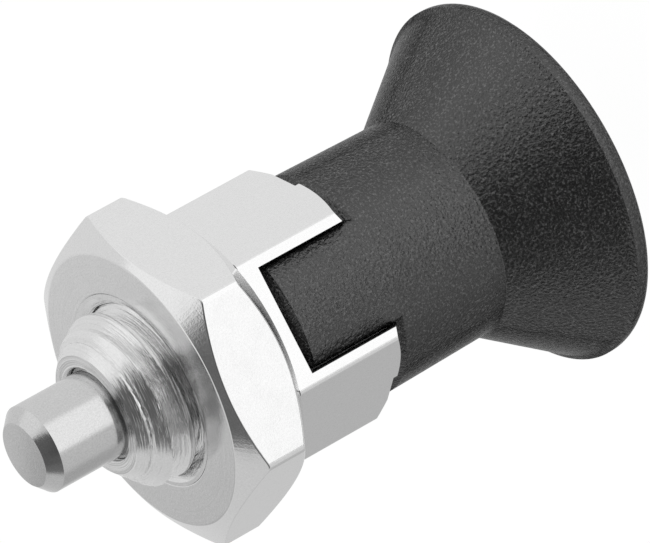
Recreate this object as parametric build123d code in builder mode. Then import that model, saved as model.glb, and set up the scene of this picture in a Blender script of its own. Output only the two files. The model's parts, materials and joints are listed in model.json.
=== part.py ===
from build123d import *
import math
import os

os.makedirs("parts", exist_ok=True)

# Indexing plunger: a spring-loaded pin in an M10 x 1.5 hexagonal body, with a thin locknut and a
# mushroom grip whose two dogs sit in slots across the body's end. Millimetres. Z is the plunger's
# axis: 0 is the flat back of the grip, and the pin points up. +X is square to a slotted flat.

# Driving dimensions ---------------------------------------------------------------------------

pin_diameter = 5.0
pin_protrusion = 4.75  # pin beyond the front face of the shank
pin_step_depth = 0.18  # where it widens to its guided length, inside the mouth of the bore
pin_step_bevel = 0.2
pin_tip_chamfer = (0.65, 0.68)  # across, along

shank_diameter = 9.74  # M10 x 1.5 crest, at the low end of its tolerance
shank_length = 7.95  # hexagon to front face
shank_face_diameter = 6.94
shank_lead_angle = 45
thread_relief = (3.95, 1.0)  # radius, length next to the hexagon

hex_across_flats = 13.0
hex_corner_round = 0.4
hex_length = 7.35
hex_end_diameter = 12.9  # flat ring left by the turned chamfer
hex_end_slope = 0.75  # rise along Z for each millimetre outward

slot_width = 6.2
slot_depth = 6.22  # the two deep slots hold the dogs with the pin out
notch_depth = 0.3  # the two shallow notches, at 90 degrees, park it in
slot_bottom = 4.6  # distance of both from the axis

nut_across_flats = 16.8
nut_thickness = 5.0
nut_corner_round = 0.5
nut_front_circle = 15.86  # flat face inside the front chamfer
nut_rear_circle = 14.8
nut_front_angle = 30
nut_rear_angle = 37
nut_turn = -10.5  # how far its flats are turned from those of the body
nut_countersink = 0.45

grip_diameter = 21.0
grip_length = 14.2  # back face to the top of the neck
rim_round = 1.0
rim_land = 0.22
rim_lip = (0.29, 0.19)  # across, along, between the land and the cone
cone_half_angle = 35
neck_base_diameter = 12.72
neck_top_diameter = 13.0
neck_top_bevel = 0.3

dog_width = 5.95
dog_bottom = 4.8  # distance of the inner face from the axis
dog_edge_round = 0.45
dog_end_gap = 0.2
dog_end_bevel = 0.5

guided_diameter = 5.4  # the length of pin that runs in the body
guide_clearance = 0.02
guide_length = 3.2
spring_bore_diameter = 6.2
collar_diameter = 6.0
collar_length = 0.8
stem_diameter = 3.4
stem_clearance = 0.05
stem_start = 3.0  # end of the stem, inside the grip
stem_groove_depth = 0.35
stem_groove_width = 2.0
stem_groove_z = 6.5  # middle of the groove that locks the stem in the grip

retainer_diameter = 7.2
retainer_thickness = 1.2
retainer_inset = 0.2
retainer_chamfer = 0.2

wire_diameter = 0.5
wire_sides = 6  # flats that stand for the round of the wire
spring_mean_diameter = 5.3
spring_turns = 4

# Levels and radii that follow from them --------------------------------------------------------

hex_end_z = grip_length + 0.1
slot_floor_z = hex_end_z + slot_depth
shoulder_z = hex_end_z + hex_length
shank_end_z = shoulder_z + shank_length
pin_tip_z = shank_end_z + pin_protrusion
nut_front_z = shoulder_z + nut_thickness

pin_r = pin_diameter / 2
shank_r = shank_diameter / 2
shank_face_r = shank_face_diameter / 2
guided_r = guided_diameter / 2
guide_r = guided_r + guide_clearance
spring_bore_r = spring_bore_diameter / 2
retainer_r = retainer_diameter / 2
stem_r = stem_diameter / 2
grip_r = grip_diameter / 2

stop_z = shank_end_z - guide_length
collar_rear_z = stop_z - collar_length
retainer_z = hex_end_z + retainer_inset
spring_seat_z = retainer_z + retainer_thickness

beyond = 12.0  # a radius outside every piece, for trimming


def rise(run, angle):
    return run * math.tan(math.radians(angle))


# Body: hexagon and shank in one piece of steel -------------------------------------------------

with BuildPart() as hex_body:
    with BuildSketch(Plane.XY.offset(hex_end_z)):
        RegularPolygon(hex_across_flats / 2, 6, major_radius=False, rotation=30)
    extrude(amount=hex_length)
    fillet(hex_body.edges().filter_by(Axis.Z), hex_corner_round)

    # The end of the hexagon is turned to a cone that stops at a flat ring.
    end_r = hex_end_diameter / 2
    with BuildSketch(Plane.XZ):
        with BuildLine():
            Polyline(
                (0, hex_end_z),
                (end_r, hex_end_z),
                (beyond, hex_end_z + (beyond - end_r) * hex_end_slope),
                (beyond, shoulder_z),
                (0, shoulder_z),
                close=True,
            )
        make_face()
    revolve(axis=Axis.Z, mode=Mode.INTERSECT)

    # Shank at the thread's crest, with a relief beside the hexagon and a lead-in.
    relief_r, relief_length = thread_relief
    relief_z = shoulder_z + relief_length
    lead_z = shank_end_z - rise(shank_r - shank_face_r, shank_lead_angle)
    with BuildSketch(Plane.XZ):
        with BuildLine():
            Polyline(
                (0, shoulder_z),
                (relief_r, shoulder_z),
                (relief_r, relief_z),
                (shank_r, relief_z),
                (shank_r, lead_z),
                (shank_face_r, shank_end_z),
                (0, shank_end_z),
                close=True,
            )
        make_face()
    revolve(axis=Axis.Z)

    # Bore: seat of the retainer, room for the spring, stop for the collar, guide for the pin.
    with BuildSketch(Plane.XZ):
        with BuildLine():
            Polyline(
                (0, hex_end_z),
                (retainer_r, hex_end_z),
                (retainer_r, spring_seat_z),
                (spring_bore_r, spring_seat_z),
                (spring_bore_r, stop_z),
                (guide_r, stop_z),
                (guide_r, shank_end_z),
                (0, shank_end_z),
                close=True,
            )
        make_face()
    revolve(axis=Axis.Z, mode=Mode.SUBTRACT)

    # Two deep slots for the dogs, and two shallow notches a quarter turn away.
    slot_reach = beyond - slot_bottom
    for start_angle, depth in ((0, slot_depth), (90, notch_depth)):
        with BuildSketch(Plane.XY.offset(hex_end_z)):
            with PolarLocations(slot_bottom + slot_reach / 2, 2, start_angle=start_angle):
                Rectangle(slot_reach, slot_width)
        extrude(amount=depth, mode=Mode.SUBTRACT)
hex_body.part.label = "hex_body"
export_step(hex_body.part, "parts/hex_body.step")

# Locknut: thin hexagon nut, turned down to the flat circle of each face ------------------------

nut_bore_r = shank_r + 0.08
with BuildPart() as locknut:
    with BuildSketch(Plane.XY.offset(shoulder_z)):
        RegularPolygon(nut_across_flats / 2, 6, major_radius=False, rotation=30 + nut_turn)
    extrude(amount=nut_thickness)
    fillet(locknut.edges().filter_by(Axis.Z), nut_corner_round)

    front_r = nut_front_circle / 2
    rear_r = nut_rear_circle / 2
    with BuildSketch(Plane.XZ):
        with BuildLine():
            Polyline(
                (0, shoulder_z),
                (rear_r, shoulder_z),
                (beyond - 2, shoulder_z + rise(beyond - 2 - rear_r, nut_rear_angle)),
                (beyond - 2, nut_front_z - rise(beyond - 2 - front_r, nut_front_angle)),
                (front_r, nut_front_z),
                (0, nut_front_z),
                close=True,
            )
        make_face()
    revolve(axis=Axis.Z, mode=Mode.INTERSECT)

    with BuildSketch(Plane.XZ):
        with BuildLine():
            Polyline(
                (0, shoulder_z),
                (nut_bore_r + nut_countersink, shoulder_z),
                (nut_bore_r, shoulder_z + nut_countersink),
                (nut_bore_r, nut_front_z - nut_countersink),
                (nut_bore_r + nut_countersink, nut_front_z),
                (0, nut_front_z),
                close=True,
            )
        make_face()
    revolve(axis=Axis.Z, mode=Mode.SUBTRACT)
locknut.part.label = "locknut"
export_step(locknut.part, "parts/locknut.step")

# Pin: one turned piece with a collar that stops it, and a grooved stem held in the grip --------

tip_across, tip_along = pin_tip_chamfer
step_z = shank_end_z - pin_step_depth
with BuildPart() as indexing_pin:
    with BuildSketch(Plane.XZ):
        with BuildLine():
            Polyline(
                (0, stem_start),
                (stem_r, stem_start),
                (stem_r, collar_rear_z),
                (collar_diameter / 2, collar_rear_z),
                (collar_diameter / 2, stop_z),
                (guided_r, stop_z),
                (guided_r, step_z - pin_step_bevel),
                (pin_r, step_z),
                (pin_r, pin_tip_z - tip_along),
                (pin_r - tip_across, pin_tip_z),
                (0, pin_tip_z),
                close=True,
            )
        make_face()
        with Locations((stem_r, stem_groove_z)):
            Rectangle(2 * stem_groove_depth, stem_groove_width, mode=Mode.SUBTRACT)
    revolve(axis=Axis.Z)
indexing_pin.part.label = "indexing_pin"
export_step(indexing_pin.part, "parts/indexing_pin.step")

# Spring: its two ends are ground flat on the collar and on the retainer -------------------------

spring_length = collar_rear_z - spring_seat_z
with BuildPart() as compression_spring:
    with BuildLine() as wire_path:
        Helix(
            pitch=(spring_length + wire_diameter / 2) / spring_turns,
            height=spring_length + wire_diameter / 2,
            radius=spring_mean_diameter / 2,
            center=(0, 0, spring_seat_z - wire_diameter / 4),
        )
    with BuildSketch(Plane(wire_path.line @ 0, z_dir=wire_path.line % 0)):
        RegularPolygon(wire_diameter / 2, wire_sides)
    sweep(path=wire_path.line, is_frenet=True)
    split(bisect_by=Plane.XY.offset(spring_seat_z), keep=Keep.TOP)
    split(bisect_by=Plane.XY.offset(collar_rear_z), keep=Keep.BOTTOM)
compression_spring.part.label = "compression_spring"
export_step(compression_spring.part, "parts/compression_spring.step")

# Retainer: bush pressed into the body behind the spring, guiding the stem ----------------------

with BuildPart() as spring_retainer:
    with BuildSketch(Plane.XY.offset(retainer_z)):
        Circle(retainer_r)
        Circle(stem_r + stem_clearance, mode=Mode.SUBTRACT)
    extrude(amount=retainer_thickness)
    rear_rim = spring_retainer.faces().sort_by(Axis.Z)[0].outer_wire().edges()
    chamfer(rear_rim, retainer_chamfer)
spring_retainer.part.label = "spring_retainer"
export_step(spring_retainer.part, "parts/spring_retainer.step")

# Grip: moulded mushroom with a tapered neck and two dogs, formed round the stem ----------------

lip_across, lip_along = rim_lip
land_top_z = rim_round + rim_land
cone_foot = (grip_r - lip_across, land_top_z + lip_along)
neck_base_r = neck_base_diameter / 2
neck_base_z = cone_foot[1] + (cone_foot[0] - neck_base_r) / math.tan(math.radians(cone_half_angle))
neck_top_r = neck_top_diameter / 2
neck_bevel_z = grip_length - neck_top_bevel
dog_tip_z = slot_floor_z - dog_end_gap

with BuildPart() as mushroom_grip:
    with BuildSketch(Plane.XZ):
        with BuildLine():
            Line((0, 0), (grip_r - rim_round, 0))
            RadiusArc((grip_r - rim_round, 0), (grip_r, rim_round), -rim_round)
            Polyline(
                (grip_r, rim_round),
                (grip_r, land_top_z),
                cone_foot,
                (neck_base_r, neck_base_z),
                (neck_top_r, neck_bevel_z),
                (neck_top_r - neck_top_bevel, grip_length),
                (0, grip_length),
                (0, 0),
            )
        make_face()
    revolve(axis=Axis.Z)

    # Dogs: flat inside, round outside like the neck, with rounded edges and bevelled ends.
    with BuildSketch(Plane.XY.offset(neck_bevel_z)) as dogs:
        Circle(neck_top_r)
        Rectangle(2 * beyond, dog_width, mode=Mode.INTERSECT)
        Rectangle(2 * dog_bottom, dog_width, mode=Mode.SUBTRACT)
        outer_corners = [v for v in dogs.vertices() if abs(v.X) > dog_bottom + dog_edge_round]
        fillet(outer_corners, dog_edge_round)
    extrude(amount=dog_tip_z - neck_bevel_z)

    bevel_reach_r = neck_top_r + dog_end_bevel
    with BuildSketch(Plane.XZ):
        with BuildLine():
            Polyline(
                (neck_top_r - 2 * dog_end_bevel, dog_tip_z + dog_end_bevel),
                (bevel_reach_r, dog_tip_z - 2 * dog_end_bevel),
                (bevel_reach_r, dog_tip_z + dog_end_bevel),
                close=True,
            )
        make_face()
    revolve(axis=Axis.Z, mode=Mode.SUBTRACT)
    add(indexing_pin.part, mode=Mode.SUBTRACT)
mushroom_grip.part.label = "mushroom_grip"
export_step(mushroom_grip.part, "parts/mushroom_grip.step")
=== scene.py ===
"""Looks of the indexing plunger: steel body, locknut and pin, coil spring and moulded grip.

Lengths are in metres, in the frame's axes: Z along the plunger, pin up, the grip's back at 0.
"""

import json
import math

import bmesh
import bpy
from mathutils import Matrix, Vector


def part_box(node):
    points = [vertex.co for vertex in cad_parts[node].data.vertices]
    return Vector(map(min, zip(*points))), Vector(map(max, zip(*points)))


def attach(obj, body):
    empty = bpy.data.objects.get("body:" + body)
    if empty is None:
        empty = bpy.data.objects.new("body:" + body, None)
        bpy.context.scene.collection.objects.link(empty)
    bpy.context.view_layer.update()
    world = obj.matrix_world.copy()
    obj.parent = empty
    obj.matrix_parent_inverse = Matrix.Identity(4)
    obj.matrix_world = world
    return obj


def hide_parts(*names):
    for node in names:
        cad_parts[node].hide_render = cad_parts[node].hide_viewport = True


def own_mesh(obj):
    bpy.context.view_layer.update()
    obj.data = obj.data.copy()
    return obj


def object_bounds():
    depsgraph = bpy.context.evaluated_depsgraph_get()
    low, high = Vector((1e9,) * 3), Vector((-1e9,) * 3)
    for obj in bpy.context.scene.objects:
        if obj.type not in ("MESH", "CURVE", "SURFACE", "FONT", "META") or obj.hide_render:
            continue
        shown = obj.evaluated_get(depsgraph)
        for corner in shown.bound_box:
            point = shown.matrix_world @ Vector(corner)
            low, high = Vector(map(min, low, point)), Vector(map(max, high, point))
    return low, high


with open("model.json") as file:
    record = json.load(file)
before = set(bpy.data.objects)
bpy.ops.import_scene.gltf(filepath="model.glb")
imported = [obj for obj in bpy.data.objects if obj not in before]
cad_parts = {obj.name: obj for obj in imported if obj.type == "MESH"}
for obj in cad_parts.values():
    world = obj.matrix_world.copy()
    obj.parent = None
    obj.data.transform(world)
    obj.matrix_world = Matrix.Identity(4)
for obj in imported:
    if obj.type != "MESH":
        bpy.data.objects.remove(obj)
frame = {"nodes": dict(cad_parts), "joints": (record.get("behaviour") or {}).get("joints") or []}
cad_low, cad_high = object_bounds()
scene = bpy.context.scene

# Levels and sizes taken from the frame --------------------------------------------------------

body_low, body_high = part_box("hex_body")
nut_low, nut_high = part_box("locknut")
pin_low, pin_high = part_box("indexing_pin")
spring_low, spring_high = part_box("compression_spring")
retainer_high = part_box("spring_retainer")[1]
grip_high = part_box("mushroom_grip")[1]

hex_end_z = body_low.z
shoulder_z = nut_low.z
shank_end_z = body_high.z
nut_front_z = nut_high.z
hex_apothem = body_high.x
collar_rear_z = spring_high.z
spring_seat_z = retainer_high.z
retainer_r = retainer_high.x
collar_r = pin_high.x
grip_r = grip_high.x
dog_tip_z = grip_high.z
spring_length = spring_high.z - spring_low.z

# Sizes that the boxes don't give, as in the CAD source where it has them ----------------------

hex_end_r = 0.00645
hex_end_slope = 0.75
hex_corner_round = 0.0004
slot_width = 0.0062
slot_depth = 0.00622
notch_depth = 0.0003
slot_bottom = 0.0046
bore_mouth_bevel = 0.00006
body_edge_round = 0.00004

thread_pitch = 0.0015
crest_r = 0.00487
root_r = 0.00398
crest_flat = 0.00034
thread_flank = math.tan(math.radians(30))
thread_start = 0.02869  # height of the crest at the angle 0, on the turn nearest the face
relief_r = 0.00395
relief_length = 0.0010
shank_face_r = 0.00347
fold_z = 0.02899  # middle of the fold that rolling the thread leaves in the lead-in
fold_half = 0.00014
fold_depth = 0.00014

nut_apothem = 0.0084
nut_corner_round = 0.0005
nut_front_r = 0.00793
nut_rear_r = 0.0074
nut_front_slope = math.tan(math.radians(30))
nut_rear_slope = math.tan(math.radians(37))
nut_turn = math.radians(-10.5)
nut_tool_r = 0.0100  # outside its corners, where its two chamfers haven't met yet
nut_minor_r = 0.00419
nut_major_r = 0.00497
nut_countersink_r = 0.0054
nut_countersink_slope = 0.8
nut_lining_r = 0.0056
nut_edge_round = 0.00007

pin_r = 0.0025
guided_r = 0.0027
guide_r = 0.00272
spring_bore_r = 0.0031
stem_r = 0.0017
collar_length = 0.0008
pin_shoulder_z = collar_rear_z + collar_length
pin_step_depth = 0.00018
pin_step_bevel = 0.0002
pin_tip_across = 0.00065
pin_tip_along = 0.00068
pin_tip_round = 0.00005

wire_r = 0.00025
spring_mean_r = 0.00265
spring_turns = 4

rim_round = 0.0010
rim_land = 0.00022
rim_lip_across = 0.00029
rim_lip_along = 0.00019
neck_base_r = 0.00636
neck_top_r = 0.0065
neck_base_z = 0.0069
neck_top_z = 0.0142
neck_top_bevel = 0.0003
neck_root_round = 0.00015
dog_width = 0.00595
dog_bottom = 0.0048
dog_edge_round = 0.00045
dog_end_bevel = 0.0005
dog_sunk = 0.0001  # the dogs start this far inside the neck
grip_edge_round = 0.0001

# Mesh settings --------------------------------------------------------------------------------

round_steps = 192  # straight facets that make a full turn
grip_steps = 256
rows_per_turn = 30  # rows of faces along the axis in one pitch of a thread
wire_sides = 14
steps_per_coil = 48
corner_steps = 6
beyond = 0.012  # a radius outside every piece, for cutting tools
over = 0.001  # how far cutting tools reach past the end faces
same_place = 1e-7  # points nearer than this are made one
sliver = 0.000001  # edges shorter than this are left over from booleans and bevels
edge_limit = 25  # in degrees, the turn above which an edge is rounded
crease = 30  # in degrees, the turn above which an edge is shown sharp
thread_crease = 28
pin_crease = 20


# Mesh tools -----------------------------------------------------------------------------------

def new_piece(name, points, faces):
    mesh = bpy.data.meshes.new(name)
    mesh.from_pydata(points, [], faces)
    mesh.validate()
    piece = bpy.data.objects.new(name, mesh)
    scene.collection.objects.link(piece)
    return piece


def tidy_normals(piece):
    """Joins the points that coincide and turns every face outwards."""
    work = bmesh.new()
    work.from_mesh(piece.data)
    bmesh.ops.remove_doubles(work, verts=work.verts, dist=same_place)
    bmesh.ops.dissolve_degenerate(work, edges=work.edges, dist=same_place)
    bmesh.ops.recalc_face_normals(work, faces=work.faces)
    work.to_mesh(piece.data)
    work.free()


def on_circle(radius, angle, height):
    return radius * math.cos(angle), radius * math.sin(angle), height


def lathe(name, outline, steps=round_steps):
    """Solid of revolution about Z. The outline is closed, as (radius, height) pairs."""
    points = []
    faces = []
    for radius, height in outline:
        for step in range(steps):
            angle = 2 * math.pi * step / steps
            points.append(on_circle(radius, angle, height))
    rings = len(outline)
    for ring in range(rings):
        above = (ring + 1) % rings
        if outline[ring][0] == 0 and outline[above][0] == 0:
            continue
        for step in range(steps):
            across = (step + 1) % steps
            faces.append((
                ring * steps + step,
                ring * steps + across,
                above * steps + across,
                above * steps + step,
            ))
    piece = new_piece(name, points, faces)
    tidy_normals(piece)
    return piece


def rounded(outline, radius, turns, steps=4):
    """The outline with the corners numbered in turns rounded to the radius."""
    smooth = []
    for number, corner in enumerate(outline):
        if number not in turns:
            smooth.append(corner)
            continue
        here = Vector(corner)
        before = (Vector(outline[number - 1]) - here).normalized()
        after = (Vector(outline[(number + 1) % len(outline)]) - here).normalized()
        half = before.angle(after) / 2
        centre = here + (before + after).normalized() * (radius / math.sin(half))
        start = here + before * (radius / math.tan(half)) - centre
        end = here + after * (radius / math.tan(half)) - centre
        for step in range(steps + 1):
            turned = centre + start.lerp(end, step / steps).normalized() * radius
            smooth.append((turned.x, turned.y))
    return smooth


def prism(name, outline, low, high):
    """Upright solid over a flat outline of (x, y) pairs."""
    count = len(outline)
    points = [(x, y, low) for x, y in outline] + [(x, y, high) for x, y in outline]
    faces = [tuple(range(count)), tuple(range(count, 2 * count))]
    for step in range(count):
        across = (step + 1) % count
        faces.append((step, across, count + across, count + step))
    piece = new_piece(name, points, faces)
    tidy_normals(piece)
    return piece


def block(name, x_span, y_span, z_span):
    (x0, x1), (y0, y1), (z0, z1) = x_span, y_span, z_span
    return prism(name, [(x0, y0), (x1, y0), (x1, y1), (x0, y1)], z0, z1)


def hexagon(apothem, turn):
    corner_r = apothem / math.cos(math.radians(30))
    angles = [turn + math.radians(30 + 60 * side) for side in range(6)]
    return [(corner_r * math.cos(angle), corner_r * math.sin(angle)) for angle in angles]


def apply_modifiers(piece):
    bpy.context.view_layer.update()
    shown = piece.evaluated_get(bpy.context.evaluated_depsgraph_get())
    mesh = bpy.data.meshes.new_from_object(shown)
    piece.modifiers.clear()
    piece.data = mesh


def combine(piece, tool, operation):
    change = piece.modifiers.new(operation.lower(), "BOOLEAN")
    change.operation = operation
    change.solver = "EXACT"
    change.object = tool
    apply_modifiers(piece)
    bpy.data.objects.remove(tool)


def drop_slivers(piece):
    """Merges the tiny faces and edges that booleans and bevels leave behind."""
    work = bmesh.new()
    work.from_mesh(piece.data)
    bmesh.ops.remove_doubles(work, verts=work.verts, dist=sliver)
    bmesh.ops.dissolve_degenerate(work, edges=work.edges, dist=sliver)
    bmesh.ops.triangulate(work, faces=[face for face in work.faces if len(face.verts) > 4])
    bmesh.ops.dissolve_degenerate(work, edges=work.edges, dist=sliver)
    work.to_mesh(piece.data)
    work.free()


def soften_edges(piece, width):
    """Rounds every edge that turns by more than edge_limit."""
    bevel = piece.modifiers.new("soften", "BEVEL")
    bevel.width = width
    bevel.segments = 3
    bevel.limit_method = "ANGLE"
    bevel.angle_limit = math.radians(edge_limit)
    bevel.use_clamp_overlap = True
    bevel.harden_normals = True
    bevel.miter_outer = "MITER_ARC"
    apply_modifiers(piece)
    drop_slivers(piece)


def shade(piece, limit=crease):
    piece.data.shade_smooth()
    piece.data.set_sharp_from_angle(angle=math.radians(limit))


def join(piece, *others):
    with bpy.context.temp_override(
        active_object=piece, selected_editable_objects=[piece, *others]
    ):
        bpy.ops.object.join()


def thread_radius(height, angle, crest, root):
    """Radius of the shank's thread, or of the nut's that fits it, at a place on its surface."""
    along = height - thread_start - thread_pitch * angle / (2 * math.pi)
    away = abs((along + thread_pitch / 2) % thread_pitch - thread_pitch / 2)
    return max(root, min(crest, crest - (away - crest_flat / 2) / thread_flank))


def threaded_wall(name, low, high, wall_r, back_outline):
    """Closed ring with a helical wall. wall_r(height, angle) is its radius.

    back_outline holds the (radius, height) pairs from the top of the wall round to its foot.
    """
    steps = round_steps
    rise = thread_pitch / rows_per_turn
    rows = math.ceil((high - low) / rise) + 2 * rows_per_turn
    points = []
    for row in range(rows):
        for step in range(steps):
            angle = 2 * math.pi * step / steps
            height = low - thread_pitch + row * rise + thread_pitch * step / steps
            height = max(low, min(high, height))
            radius = wall_r(height, angle)
            points.append(on_circle(radius, angle, height))
    faces = []
    top = rows - 1
    for row in range(top):
        for step in range(steps):
            across = (step + 1) % steps
            lift = rows_per_turn if across == 0 else 0
            faces.append((
                row * steps + step,
                min(row + lift, top) * steps + across,
                min(row + 1 + lift, top) * steps + across,
                (row + 1) * steps + step,
            ))
    first_back = len(points)
    for radius, height in back_outline:
        for step in range(steps):
            angle = 2 * math.pi * step / steps
            points.append(on_circle(radius, angle, height))
    rings = [top * steps]
    rings += [first_back + ring * steps for ring in range(len(back_outline))]
    rings += [0]
    for below, above in zip(rings, rings[1:]):
        for step in range(steps):
            across = (step + 1) % steps
            faces.append((below + step, below + across, above + across, above + step))
    piece = new_piece(name, points, faces)
    tidy_normals(piece)
    return piece


# Body -----------------------------------------------------------------------------------------

def make_body():
    outline = rounded(hexagon(hex_apothem, 0), hex_corner_round, range(6), corner_steps)
    body = prism("body_steel", outline, hex_end_z, shoulder_z)
    cone_reach = beyond - hex_end_r
    turned_end = lathe("turned_end", [
        (0, hex_end_z - over),
        (hex_end_r - over / hex_end_slope, hex_end_z - over),
        (beyond, hex_end_z + cone_reach * hex_end_slope),
        (beyond, shoulder_z + over),
        (0, shoulder_z + over),
    ])
    combine(body, turned_end, "INTERSECT")
    bore = lathe("bore", [
        (0, hex_end_z - over),
        (retainer_r, hex_end_z - over),
        (retainer_r, spring_seat_z),
        (spring_bore_r, spring_seat_z),
        (spring_bore_r, shoulder_z + over),
        (0, shoulder_z + over),
    ])
    combine(body, bore, "DIFFERENCE")
    half = slot_width / 2
    low = hex_end_z - over
    for side in (-1, 1):
        span = sorted((side * slot_bottom, side * beyond))
        slot = block("slot", span, (-half, half), (low, hex_end_z + slot_depth))
        combine(body, slot, "DIFFERENCE")
        notch = block("notch", (-half, half), span, (low, hex_end_z + notch_depth))
        combine(body, notch, "DIFFERENCE")
    soften_edges(body, body_edge_round)

    def wall_r(height, angle):
        thread = thread_radius(height, angle, crest_r, root_r)
        fold = max(0, 1 - abs(height - fold_z) / fold_half) * fold_depth
        lead_in = shank_face_r + (shank_end_z - height) - fold
        run_out = relief_r + max(0, height - shoulder_z - relief_length)
        return min(thread, lead_in, run_out)

    shank = threaded_wall("shank", shoulder_z, shank_end_z, wall_r, [
        (guide_r + bore_mouth_bevel, shank_end_z),
        (guide_r, shank_end_z - bore_mouth_bevel),
        (guide_r, pin_shoulder_z),
        (spring_bore_r, pin_shoulder_z),
        (spring_bore_r, shoulder_z),
    ])
    shade(shank, thread_crease)
    join(body, shank)
    return body


# Locknut --------------------------------------------------------------------------------------

def make_locknut():
    outline = rounded(hexagon(nut_apothem, nut_turn), nut_corner_round, range(6), corner_steps)
    nut = prism("locknut_steel", outline, shoulder_z, nut_front_z)
    rear_reach = nut_tool_r - nut_rear_r
    front_reach = nut_tool_r - nut_front_r
    turned = lathe("turned", [
        (0, shoulder_z - over),
        (nut_rear_r - over / nut_rear_slope, shoulder_z - over),
        (nut_tool_r, shoulder_z + rear_reach * nut_rear_slope),
        (nut_tool_r, nut_front_z - front_reach * nut_front_slope),
        (nut_front_r - over / nut_front_slope, nut_front_z + over),
        (0, nut_front_z + over),
    ])
    combine(nut, turned, "INTERSECT")
    hole = lathe("hole", [
        (0, shoulder_z - over),
        (nut_lining_r, shoulder_z - over),
        (nut_lining_r, nut_front_z + over),
        (0, nut_front_z + over),
    ])
    combine(nut, hole, "DIFFERENCE")
    soften_edges(nut, nut_edge_round)

    def wall_r(height, angle):
        thread = thread_radius(height, angle, nut_major_r, nut_minor_r)
        depth = min(height - shoulder_z, nut_front_z - height)
        return max(thread, nut_countersink_r - depth / nut_countersink_slope)

    lining = threaded_wall("lining", shoulder_z, nut_front_z, wall_r, [
        (nut_lining_r, nut_front_z),
        (nut_lining_r, shoulder_z),
    ])
    shade(lining, thread_crease)
    join(nut, lining)
    return nut


# Pin ------------------------------------------------------------------------------------------

def make_pin():
    step_z = shank_end_z - pin_step_depth
    outline = [
        (0, pin_low.z),
        (stem_r, pin_low.z),
        (stem_r, collar_rear_z),
        (collar_r, collar_rear_z),
        (collar_r, pin_shoulder_z),
        (guided_r, pin_shoulder_z),
        (guided_r, step_z - pin_step_bevel),
        (pin_r, step_z),
        (pin_r, pin_high.z - pin_tip_along),
        (pin_r - pin_tip_across, pin_high.z),
        (0, pin_high.z),
    ]
    outline = rounded(outline, pin_tip_round, (8, 9))
    pin = lathe("pin_steel", outline)
    shade(pin, pin_crease)
    return pin


# Spring ---------------------------------------------------------------------------------------

def make_spring():
    """Open coil, whose ends are cut level with its seats as if they had been ground flat."""
    steps = steps_per_coil * spring_turns
    rise = (spring_length + wire_r) / steps
    points = []
    faces = []
    for step in range(steps + 1):
        angle = 2 * math.pi * spring_turns * step / steps
        for corner in range(wire_sides):
            turn = 2 * math.pi * corner / wire_sides
            radius = spring_mean_r + wire_r * math.cos(turn)
            height = spring_low.z - wire_r / 2 + step * rise + wire_r * math.sin(turn)
            height = max(spring_low.z, min(spring_high.z, height))
            points.append(on_circle(radius, angle, height))
    for step in range(steps):
        for corner in range(wire_sides):
            across = (corner + 1) % wire_sides
            here = step * wire_sides
            there = here + wire_sides
            faces.append((here + corner, here + across, there + across, there + corner))
    faces.append(tuple(range(wire_sides)))
    faces.append(tuple(steps * wire_sides + corner for corner in range(wire_sides)))
    spring = new_piece("coil_spring", points, faces)
    tidy_normals(spring)
    shade(spring)
    return spring


# Grip -----------------------------------------------------------------------------------------

def arc(centre, radius, start, end, steps):
    """Points of an arc between two angles, both included."""
    angles = [start + (end - start) * step / steps for step in range(steps + 1)]
    return [
        (centre[0] + radius * math.cos(angle), centre[1] + radius * math.sin(angle))
        for angle in angles
    ]


def dog_section(side):
    """Section of one dog: flat inside, round outside, its two outer corners rounded."""
    inset = dog_width / 2 - dog_edge_round
    centre_x = math.sqrt((neck_top_r - dog_edge_round) ** 2 - inset ** 2)
    reach = math.atan2(inset, centre_x)
    upper = arc((centre_x, inset), dog_edge_round, reach, math.pi / 2, steps=8)
    lower = [(x, -y) for x, y in reversed(upper)]
    outer = arc((0, 0), neck_top_r, -reach, reach, steps=40)
    inner = [(dog_bottom, dog_width / 2), (dog_bottom, -dog_width / 2)]
    outline = inner + lower + outer[1:-1] + upper
    return [(side * x, side * y) for x, y in outline]


def make_grip():
    land_top_z = rim_round + rim_land
    neck_bevel_z = neck_top_z - neck_top_bevel
    outline = [
        (0, 0),
        (grip_r, 0),
        (grip_r, land_top_z),
        (grip_r - rim_lip_across, land_top_z + rim_lip_along),
        (neck_base_r, neck_base_z),
        (neck_top_r, neck_bevel_z),
        (neck_top_r - neck_top_bevel, neck_top_z),
        (0, neck_top_z),
    ]
    outline = rounded(outline, neck_root_round, (4,), corner_steps)
    outline = rounded(outline, rim_round, (1,), 2 * corner_steps)
    grip = lathe("grip_plastic", outline, grip_steps)
    for side in (-1, 1):
        dog = prism("dog", dog_section(side), neck_bevel_z - dog_sunk, dog_tip_z)
        end_bevel = lathe("end_bevel", [
            (neck_top_r - 2 * dog_end_bevel, dog_tip_z + dog_end_bevel),
            (neck_top_r + dog_end_bevel, dog_tip_z - 2 * dog_end_bevel),
            (neck_top_r + dog_end_bevel, dog_tip_z + dog_end_bevel),
        ])
        combine(dog, end_bevel, "DIFFERENCE")
        combine(grip, dog, "UNION")
    soften_edges(grip, grip_edge_round)
    return grip


body = make_body()
locknut = make_locknut()
pin = make_pin()
spring = make_spring()
grip = make_grip()
retainer = frame["nodes"]["spring_retainer"]


# Materials ------------------------------------------------------------------------------------

noise_span = (0.3, 0.7)  # where nearly all values of a noise lie
ring_drift = 0.04
cloud_size = 1 / 900  # patches of more and less polish, in metres
turned_face_r = 0.0052  # the shank and what is inside it
near_marks = 13.0  # how deep its turning marks are, against those that a call gives
across_marks = 0.3  # the same for faces that lie across the axis
across_limit = 0.3  # the part along Z of a face's direction, from which it lies across the axis
slot_margin = 0.00001
# how much painted shade darkens the base colour in the body's slots
slot_painted_shade = 0.75
slot_dulling = 0.35

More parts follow.
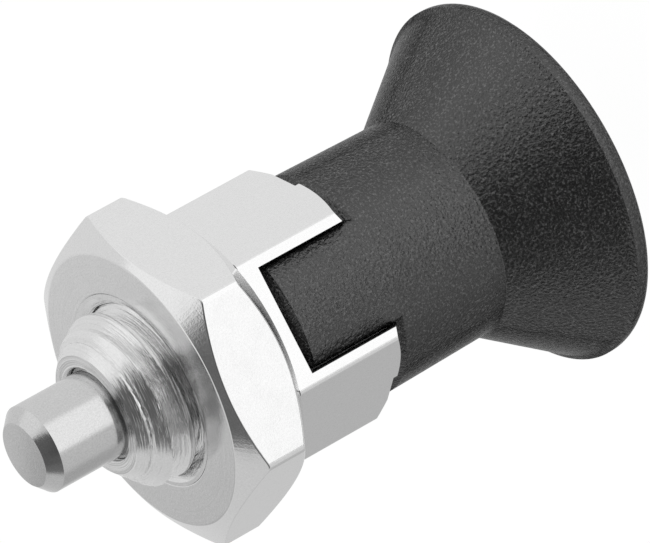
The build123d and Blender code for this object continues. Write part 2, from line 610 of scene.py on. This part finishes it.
pebble_size = 1 / 5200
pebble_depth = 0.00008
fleck_size = 1 / 8000
fleck_span = (0.52, 0.76)
plastic_tone = (0.004, 0.170)
plastic_polish = (0.30, 0.22)
sheen_span = (0.2, 0.62)
sheen_level = (0.95, 0.05)


class Nodes:
    """A material's or world's node tree, with short calls for adding and wiring nodes."""

    def __init__(self, owner):
        owner.use_nodes = True
        self.tree = owner.node_tree
        self.tree.nodes.clear()

    def add(self, kind, **settings):
        node = self.tree.nodes.new(kind)
        for name, value in settings.items():
            setattr(node, name, value)
        return node

    def wire(self, source, target):
        self.tree.links.new(source, target)

    def feed(self, socket, value):
        """Wires the value when it is another node's output, and sets it when it is a number."""
        if isinstance(value, bpy.types.NodeSocket):
            self.wire(value, socket)
        else:
            socket.default_value = value

    def math(self, operation, *inputs):
        node = self.add("ShaderNodeMath", operation=operation)
        for socket, value in zip(node.inputs, inputs):
            self.feed(socket, value)
        return node.outputs[0]

    def split(self, vector):
        node = self.add("ShaderNodeSeparateXYZ")
        self.wire(vector, node.inputs["Vector"])
        return node.outputs

    def dot(self, vector, axis):
        node = self.add("ShaderNodeVectorMath", operation="DOT_PRODUCT")
        self.wire(vector, node.inputs[0])
        node.inputs[1].default_value = axis
        return node.outputs["Value"]

    def noise(self, vector, scale, detail=2.0, roughness=0.5):
        node = self.add("ShaderNodeTexNoise")
        self.wire(vector, node.inputs["Vector"])
        node.inputs["Scale"].default_value = scale
        node.inputs["Detail"].default_value = detail
        node.inputs["Roughness"].default_value = roughness
        return node.outputs["Fac"]

    def spread(self, value, low, high, to_low, to_high, interpolation="LINEAR"):
        """The value taken from one range to another, and held at its ends."""
        node = self.add("ShaderNodeMapRange", interpolation_type=interpolation)
        self.feed(node.inputs["Value"], value)
        node.inputs["From Min"].default_value = low
        node.inputs["From Max"].default_value = high
        node.inputs["To Min"].default_value = to_low
        node.inputs["To Max"].default_value = to_high
        return node.outputs["Result"]

    def bump(self, height, distance, normal=None):
        node = self.add("ShaderNodeBump")
        node.inputs["Distance"].default_value = distance
        node.inputs["Strength"].default_value = 1.0
        self.wire(height, node.inputs["Height"])
        if normal is not None:
            self.wire(normal, node.inputs["Normal"])
        return node.outputs["Normal"]


def surface(name):
    """A new material, its nodes and its shader, and the place on the piece, in metres."""
    material = bpy.data.materials.new(name)
    nodes = Nodes(material)
    shader = nodes.add("ShaderNodeBsdfPrincipled")
    output = nodes.add("ShaderNodeOutputMaterial")
    nodes.wire(shader.outputs["BSDF"], output.inputs["Surface"])
    place = nodes.add("ShaderNodeTexCoord").outputs["Object"]
    return material, nodes, shader, place


def grey_between(nodes, amount, dark, light):
    ramp = nodes.add("ShaderNodeValToRGB")
    ramp.color_ramp.elements[0].color = (dark, dark, dark, 1)
    ramp.color_ramp.elements[1].color = (light, light, light, 1)
    nodes.wire(amount, ramp.inputs["Fac"])
    return ramp.outputs["Color"]


def round_the_axis(nodes, place):
    """Coordinates in which noise draws rings round Z, and the distance from Z.

    ring_drift lets the rings change a little along their way.
    """
    split = nodes.split(place)
    flat = nodes.add("ShaderNodeCombineXYZ")
    nodes.wire(split["X"], flat.inputs["X"])
    nodes.wire(split["Y"], flat.inputs["Y"])
    radius = nodes.add("ShaderNodeVectorMath", operation="LENGTH")
    nodes.wire(flat.outputs[0], radius.inputs[0])
    rings = nodes.add("ShaderNodeCombineXYZ")
    nodes.wire(radius.outputs["Value"], rings.inputs["X"])
    nodes.wire(split["Z"], rings.inputs["Y"])
    mixed = nodes.add("ShaderNodeVectorMath", operation="MULTIPLY_ADD")
    nodes.wire(flat.outputs[0], mixed.inputs[0])
    mixed.inputs[1].default_value = (ring_drift, ring_drift, ring_drift)
    nodes.wire(rings.outputs[0], mixed.inputs[2])
    return mixed.outputs[0], radius.outputs["Value"]


def in_slots(nodes, place):
    """1 in the body's two slots and in the bore between them, walls included, and 0 elsewhere."""
    split = nodes.split(place)
    across = nodes.math("ABSOLUTE", split["Y"])
    between = nodes.math("LESS_THAN", across, slot_width / 2 + slot_margin)
    behind = nodes.math("LESS_THAN", split["Z"], hex_end_z + slot_depth + slot_margin)
    return nodes.math("MULTIPLY", between, behind)


def steel(name, tone, polish, grain, marks, turned_r=0.0, slots_shaded_and_dulled=False):
    """Bare or plated steel, with a fine grain all over and turning marks where it was turned.

    tone and polish bound its base colour and its roughness. grain and marks are (size, depth)
    in metres. Faces across the axis have the turning marks, and deeper ones lie nearer to it
    than turned_r. The last argument is for the body: its slots get a higher roughness, and
    painted shade darkens their base colour.
    """
    material, nodes, shader, place = surface(name)
    shader.inputs["Metallic"].default_value = 1.0
    grain_size, grain_depth = grain
    speck = nodes.noise(place, 1 / grain_size, detail=3, roughness=0.6)
    shaded_slot_mask = in_slots(nodes, place) if slots_shaded_and_dulled else 0.0
    # painted shade: the base colour in the slots is made darker to stand for the shade that falls
    # in them
    shown = nodes.math("MULTIPLY_ADD", shaded_slot_mask, -slot_painted_shade, 1.0)
    bright = nodes.math("MULTIPLY", nodes.spread(speck, 0.0, 1.0, *tone), shown)
    nodes.wire(bright, shader.inputs["Base Color"])
    cloud = nodes.noise(place, 1 / cloud_size, detail=4, roughness=0.6)
    clouded = nodes.spread(cloud, *noise_span, *polish)
    roughness = nodes.math("MULTIPLY_ADD", shaded_slot_mask, slot_dulling, clouded)
    nodes.wire(roughness, shader.inputs["Roughness"])

    rings, radius = round_the_axis(nodes, place)
    marks_size, marks_depth = marks
    turning = nodes.noise(rings, 1 / marks_size, detail=3, roughness=0.6)
    facing = nodes.split(nodes.add("ShaderNodeTexCoord").outputs["Normal"])
    across = nodes.math("GREATER_THAN", nodes.math("ABSOLUTE", facing["Z"]), across_limit)
    near = nodes.math("LESS_THAN", radius, turned_r)
    faint = nodes.math("MULTIPLY", across, across_marks)
    height = nodes.math("MULTIPLY", turning, nodes.math("MULTIPLY_ADD", near, near_marks, faint))
    grained = nodes.bump(speck, grain_depth)
    nodes.wire(nodes.bump(height, marks_depth, normal=grained), shader.inputs["Normal"])
    return material


def plastic(name):
    """Glass-filled black plastic with the fine leather grain of its mould."""
    material, nodes, shader, place = surface(name)
    pebbles = nodes.noise(place, 1 / pebble_size, detail=2, roughness=0.55)
    flecks = nodes.spread(nodes.noise(place, 1 / fleck_size, detail=1), *fleck_span, 0.0, 1.0)
    nodes.wire(grey_between(nodes, flecks, *plastic_tone), shader.inputs["Base Color"])
    gloss = nodes.spread(pebbles, *noise_span, *plastic_polish)
    nodes.wire(gloss, shader.inputs["Roughness"])
    shader.inputs["IOR"].default_value = 1.55
    slant = nodes.add("ShaderNodeLayerWeight").outputs["Facing"]
    sheen = nodes.spread(slant, *sheen_span, *sheen_level)
    nodes.wire(sheen, shader.inputs["Specular IOR Level"])
    nodes.wire(nodes.bump(pebbles, pebble_depth), shader.inputs["Normal"])
    return material


body_plate = steel(
    "plated_steel",
    tone=(0.74, 0.94),
    polish=(0.08, 0.15),
    grain=(0.00010, 0.000003),
    marks=(0.00020, 0.000006),
    turned_r=turned_face_r,
    slots_shaded_and_dulled=True,
)
ground = steel(
    "ground_steel",
    tone=(0.54, 0.76),
    polish=(0.13, 0.20),
    grain=(0.00010, 0.000003),
    marks=(0.00012, 0.0000004),
    turned_r=turned_face_r,
)
drawn = steel(
    "spring_wire",
    tone=(0.45, 0.55),
    polish=(0.25, 0.35),
    grain=(0.00015, 0.000003),
    marks=(0.00012, 0.000002),
)
bush_steel = steel(
    "retainer_steel",
    tone=(0.55, 0.62),
    polish=(0.20, 0.30),
    grain=(0.00012, 0.000003),
    marks=(0.00012, 0.000004),
    turned_r=turned_face_r,
)
moulded = plastic("black_plastic")

finishes = (
    (body, body_plate, "housing", "hex_body", "plated_steel"),
    (locknut, body_plate, "locknut", "locknut", "plated_steel"),
    (pin, ground, "plunger", "indexing_pin", "ground_steel"),
    (spring, drawn, "housing", "compression_spring", "spring_wire"),
    (grip, moulded, "plunger", "mushroom_grip", "black_plastic"),
)
for piece, material, rides_on, stands_for, slot in finishes:
    piece.data.materials.clear()
    piece.data.materials.append(material)
    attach(piece, rides_on)
    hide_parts(stands_for)
retainer.data.materials.clear()
retainer.data.materials.append(bush_steel)

pull = next(joint for joint in frame["joints"] if joint["name"] == "pull")
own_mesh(spring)


# Camera ---------------------------------------------------------------------------------------

camera_azimuth = math.radians(4.17)  # from +X towards +Y
camera_elevation = math.radians(27.644)
camera_roll = math.radians(-119.07)
camera_distance = 0.42663
camera_aim = Vector((-0.00005, 0.00075, 0.01369))
camera_lens = 444.20

back = Vector((
    math.cos(camera_elevation) * math.cos(camera_azimuth),
    math.cos(camera_elevation) * math.sin(camera_azimuth),
    math.sin(camera_elevation),
))
level_right = Vector((0, 0, 1)).cross(back).normalized()
level_up = back.cross(level_right)
image_right = level_right * math.cos(camera_roll) + level_up * math.sin(camera_roll)
image_up = level_up * math.cos(camera_roll) - level_right * math.sin(camera_roll)

lens = bpy.data.cameras.new("camera")
lens.lens = camera_lens
lens.sensor_width = 36
lens.clip_start = 0.01
lens.clip_end = 10
camera = bpy.data.objects.new("camera", lens)
scene.collection.objects.link(camera)
camera.matrix_world = Matrix.Translation(camera_aim + back * camera_distance) @ Matrix(
    (image_right, image_up, back)
).transposed().to_4x4()
scene.camera = camera


# Studio ---------------------------------------------------------------------------------------

floor_gap = 0.0001
floor_z = cad_low.z - pull["range_m"][1] - floor_gap  # clear of the grip when it is pulled
floor_reach = 3
floor_tone = 0.85
floor_glow = 1.06
floor_glow_share = 0.92  # how much of the floor that the camera sees is glow

sky_reach = 0.9  # how far up or down the picture a ray goes to meet the end levels
sky_levels = (0.64, 0.86)  # from below the picture, and from above it
soft_boxes = (
    # towards (right, up, near), half width, half height, edge, value
    ((-0.67, -0.52, -0.54), 0.24, 0.138, 0.035, 0.46),
    ((0.00, -0.87, 0.42), 0.60, 0.36, 0.12, 0.18),
    ((0.54, -0.56, -0.63), 0.42, 0.50, 0.22, 0.50),
    ((0.64, 0.40, 0.66), 0.44, 0.66, 0.13, 1.18),
    ((0.95, 0.25, 0.20), 0.16, 0.50, 0.05, 0.24),
    ((-0.95, 0.04, 0.36), 0.44, 0.70, 0.05, 0.94),
    ((-0.564, -0.523, 0.642), 0.465, 0.59, 0.05, 0.13),
    ((0.02, -0.20, 0.97), 0.45, 0.62, 0.06, 0.10),
)


def make_floor():
    corners = ((-1, -1), (1, -1), (1, 1), (-1, 1))
    points = [(x * floor_reach, y * floor_reach, floor_z) for x, y in corners]
    floor = new_piece("floor", points, [(0, 1, 2, 3)])
    material = bpy.data.materials.new("floor")
    nodes = Nodes(material)
    output = nodes.add("ShaderNodeOutputMaterial")
    matt = nodes.add("ShaderNodeBsdfDiffuse")
    matt.inputs["Color"].default_value = (floor_tone, floor_tone, floor_tone, 1)
    glow = nodes.add("ShaderNodeEmission")
    seen = nodes.add("ShaderNodeLightPath")
    glow.inputs["Strength"].default_value = floor_glow
    share = nodes.math("MULTIPLY", seen.outputs["Is Camera Ray"], floor_glow_share)
    mix = nodes.add("ShaderNodeMixShader")
    nodes.wire(share, mix.inputs["Fac"])
    nodes.wire(matt.outputs[0], mix.inputs[1])
    nodes.wire(glow.outputs[0], mix.inputs[2])
    nodes.wire(mix.outputs[0], output.inputs["Surface"])
    floor.data.materials.append(material)
    floor.visible_glossy = False


def soft_box(nodes, level, direction, centre, half_width, half_height, edge, value):
    """Level with a soft rectangle of that value. direction holds the ray's right, up and near."""
    aim = Vector(centre).normalized()
    side = Vector((0, 1, 0)).cross(aim).normalized()
    top = aim.cross(side)
    ahead = nodes.dot(direction, aim)
    divisor = nodes.math("MAXIMUM", ahead, 0.001)  # never 0
    mask = nodes.math("GREATER_THAN", ahead, 0.0)
    for axis, half in ((side, half_width), (top, half_height)):
        offset = nodes.math("DIVIDE", nodes.dot(direction, axis), divisor)
        away = nodes.math("ABSOLUTE", offset)
        inside = nodes.spread(away, half - edge, half + edge, 1, 0, "SMOOTHSTEP")
        mask = nodes.math("MULTIPLY", mask, inside)
    change = nodes.math("SUBTRACT", value, level)
    return nodes.math("MULTIPLY_ADD", change, mask, level)


def make_world():
    """Even light with the soft boxes in it, which the camera itself sees as plain white."""
    world = bpy.data.worlds.new("studio")
    scene.world = world
    nodes = Nodes(world)
    output = nodes.add("ShaderNodeOutputWorld")
    ray = nodes.add("ShaderNodeTexCoord").outputs["Generated"]
    parts = nodes.add("ShaderNodeCombineXYZ")
    for socket, axis in zip(parts.inputs, (image_right, image_up, back)):
        nodes.wire(nodes.dot(ray, axis), socket)
    direction = parts.outputs["Vector"]
    level = nodes.spread(nodes.split(direction)["Y"], -sky_reach, sky_reach, *sky_levels)
    for box in soft_boxes:
        level = soft_box(nodes, level, direction, *box)
    seen = nodes.add("ShaderNodeLightPath").outputs["Is Camera Ray"]
    strength = nodes.math("MULTIPLY_ADD", nodes.math("SUBTRACT", 1.0, level), seen, level)
    background = nodes.add("ShaderNodeBackground")
    background.inputs["Color"].default_value = (1, 1, 1, 1)
    nodes.wire(strength, background.inputs["Strength"])
    nodes.wire(background.outputs[0], output.inputs["Surface"])


make_floor()
make_world()
scene.view_settings.view_transform = "Standard"
